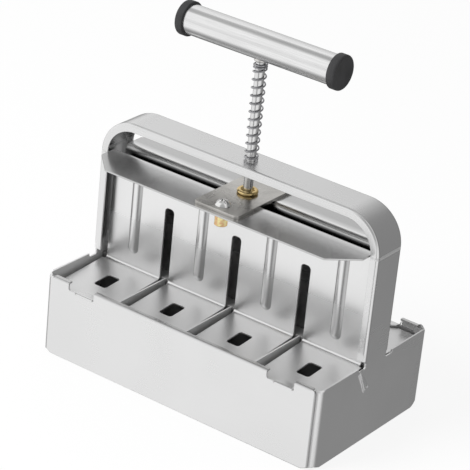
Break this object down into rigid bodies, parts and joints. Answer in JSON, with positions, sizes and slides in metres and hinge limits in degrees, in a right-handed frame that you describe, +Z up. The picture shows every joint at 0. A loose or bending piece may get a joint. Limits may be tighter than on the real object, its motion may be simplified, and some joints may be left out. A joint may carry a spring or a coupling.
{
  "type": "soil blocker",
  "caption": "Hand soil blocker: open-bottomed sheet-steel box of square cells with an arch and a spring-loaded plunger on a T-handle that presses the blocks out.",
  "frame": {"origin": "on the ground, under the axis of the push rod, at the middle of the box", "axes": "+X along the two banks of cells and along the handle, +Y from front to rear, +Z up along the push rod"},
  "size_m": [0.21, 0.118, 0.236],
  "materials": {
    "box_steel": "satin",
    "arch_steel": "satin",
    "divider_steel": "satin",
    "press_steel": "half polished",
    "plate_steel": "satin, faintly warm",
    "screw_steel": "polished",
    "yellow_zinc": "yellow zinc plating",
    "rod_steel": "ground and bright",
    "collar_brass": "turned",
    "spring_steel": "bright wire",
    "tube_steel": "satin along the tube",
    "cap_rubber": "matt"
  },
  "bodies": {
    "frame": {"right_side_wall": "box_steel", "left_side_wall": "box_steel", "arch_top": "arch_steel", "front_wall": "box_steel", "rear_wall": "box_steel", "centre_channel": "divider_steel", "front_divider_1": "divider_steel", "front_divider_2": "divider_steel", "front_divider_3": "divider_steel", "rear_divider_1": "divider_steel", "rear_divider_2": "divider_steel", "rear_divider_3": "divider_steel", "spring": "spring_steel"},
    "plunger": {"front_press_sheet": "press_steel", "rear_press_sheet": "press_steel", "link_plate": "plate_steel", "front_plate_screw": "screw_steel", "rear_plate_screw": "screw_steel", "front_plate_nut": "yellow_zinc", "rear_plate_nut": "yellow_zinc", "push_rod": "rod_steel", "rod_collar": "collar_brass", "rod_nut": "yellow_zinc", "handle_tube": "tube_steel", "left_end_cap": "cap_rubber", "right_end_cap": "cap_rubber"}
  },
  "joints": [
    {"name": "plunger_slide", "type": "slide", "parent": "frame", "child": "plunger", "axis": [0, 0, -1], "range_m": [0, 0.044], "stiffness_N_per_m": 1000, "springref_m": -0.018, "deforming": ["spring"]}
  ]
}
